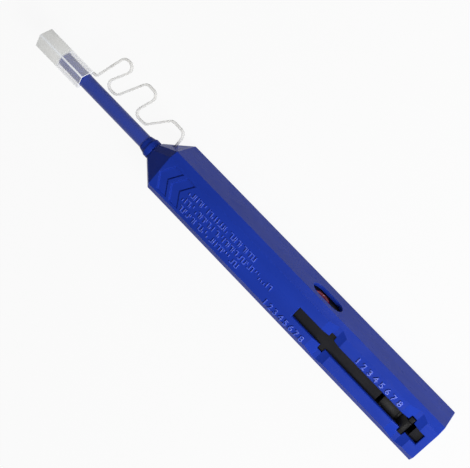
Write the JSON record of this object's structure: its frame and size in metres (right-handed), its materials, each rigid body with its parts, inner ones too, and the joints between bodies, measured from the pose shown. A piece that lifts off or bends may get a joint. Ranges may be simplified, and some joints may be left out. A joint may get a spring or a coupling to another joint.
{
  "type": "fibre connector cleaning pen",
  "caption": "Push-to-clean pen for fibre connectors: faceted sleeve, sliding reel carriage with a thumb latch, spring nozzle that winds thread and turns its tip, tethered square cap.",
  "frame": {"origin": "middle of the housing's flat back face", "axes": "+X along the pen towards the nozzle, +Z out of the front face with the slot, -Y the side with the window"},
  "size_m": [0.2079, 0.0271, 0.0215],
  "materials": {
    "housing_blue": "moulded, satin gloss",
    "nozzle_blue": "moulded, satin gloss",
    "carriage_black": "moulded, satin",
    "latch_black": "moulded, satin",
    "reel_red": "moulded, gloss",
    "takeup_grey": "moulded, satin",
    "gear_white": "acetal, satin",
    "steel": "ground",
    "spring_steel": "drawn wire",
    "thread_white": "fine woven microfibre thread",
    "cap_clear": "frosted translucent",
    "strap_clear": "soft translucent"
  },
  "bodies": {
    "root": {"housing_shell": "housing_blue", "rear_plug": "housing_blue", "nose_bush": "housing_blue", "tether_strap": "strap_clear"},
    "carriage": {"carriage_frame": "carriage_black", "carriage_cover": "carriage_black", "supply_axle": "steel", "takeup_axle": "steel", "latch_pin": "steel", "latch_spring": "spring_steel", "return_spring": "spring_steel", "cam_pin": "steel", "cleaning_thread": "thread_white"},
    "latch": {"latch_lever": "latch_black"},
    "nozzle": {"nozzle_tube": "nozzle_blue", "feed_rack": "gear_white", "front_bush": "gear_white"},
    "spindle": {"spindle": "gear_white", "cleaning_tip": "gear_white"},
    "pinion": {"takeup_pinion": "gear_white", "drive_pawl": "spring_steel"},
    "takeup": {"takeup_reel": "takeup_grey", "takeup_thread": "thread_white"},
    "supply": {"supply_reel": "reel_red", "supply_thread": "thread_white"},
    "cap": {"end_cap": "cap_clear"}
  },
  "joints": [
    {"name": "nozzle_extend", "type": "slide", "parent": "root", "child": "carriage", "axis": [1, 0, 0], "range_m": [0, 0.04], "deforming": ["latch_lever", "tether_strap"]},
    {"name": "latch_press", "type": "hinge", "parent": "carriage", "child": "latch", "pos_m": [-0.0473, 0, 0.0181], "axis": [0, -1, 0], "range_deg": [0, 8], "stiffness_Nm_per_rad": 0.08, "springref_deg": -5.73, "deforming": ["latch_spring"]},
    {"name": "nozzle_push", "type": "slide", "parent": "carriage", "child": "nozzle", "axis": [-1, 0, 0], "range_m": [0, 0.007], "stiffness_N_per_m": 250, "springref_m": -0.004, "deforming": ["return_spring", "cleaning_thread", "tether_strap"]},
    {"name": "spindle_turn", "type": "hinge", "parent": "nozzle", "child": "spindle", "pos_m": [0, 0, 0.0124], "axis": [-1, 0, 0], "range_deg": [0, 180]},
    {"name": "pinion_turn", "type": "hinge", "parent": "carriage", "child": "pinion", "pos_m": [-0.0305, 0, 0.0124], "axis": [0, 1, 0], "range_deg": [0, 89.14], "deforming": ["drive_pawl"]},
    {"name": "takeup_spin", "type": "hinge", "parent": "carriage", "child": "takeup", "pos_m": [-0.0305, 0, 0.0124], "axis": [0, 1, 0], "continuous": true, "deforming": ["drive_pawl"]},
    {"name": "supply_spin", "type": "hinge", "parent": "carriage", "child": "supply", "pos_m": [-0.0059, 0, 0.0124], "axis": [0, 1, 0], "continuous": true},
    {"name": "cap_pull", "type": "slide", "parent": "nozzle", "child": "cap", "axis": [1, 0, 0], "range_m": [0, 0.014], "deforming": ["tether_strap"]}
  ],
  "couplings": [
    {"joint": "spindle_turn", "follows": "nozzle_push", "rad_per_m": 448.8},
    {"joint": "pinion_turn", "follows": "nozzle_push", "rad_per_m": 222.22},
    {"joint": "supply_spin", "follows": "takeup_spin", "ratio": 0.8}
  ]
}
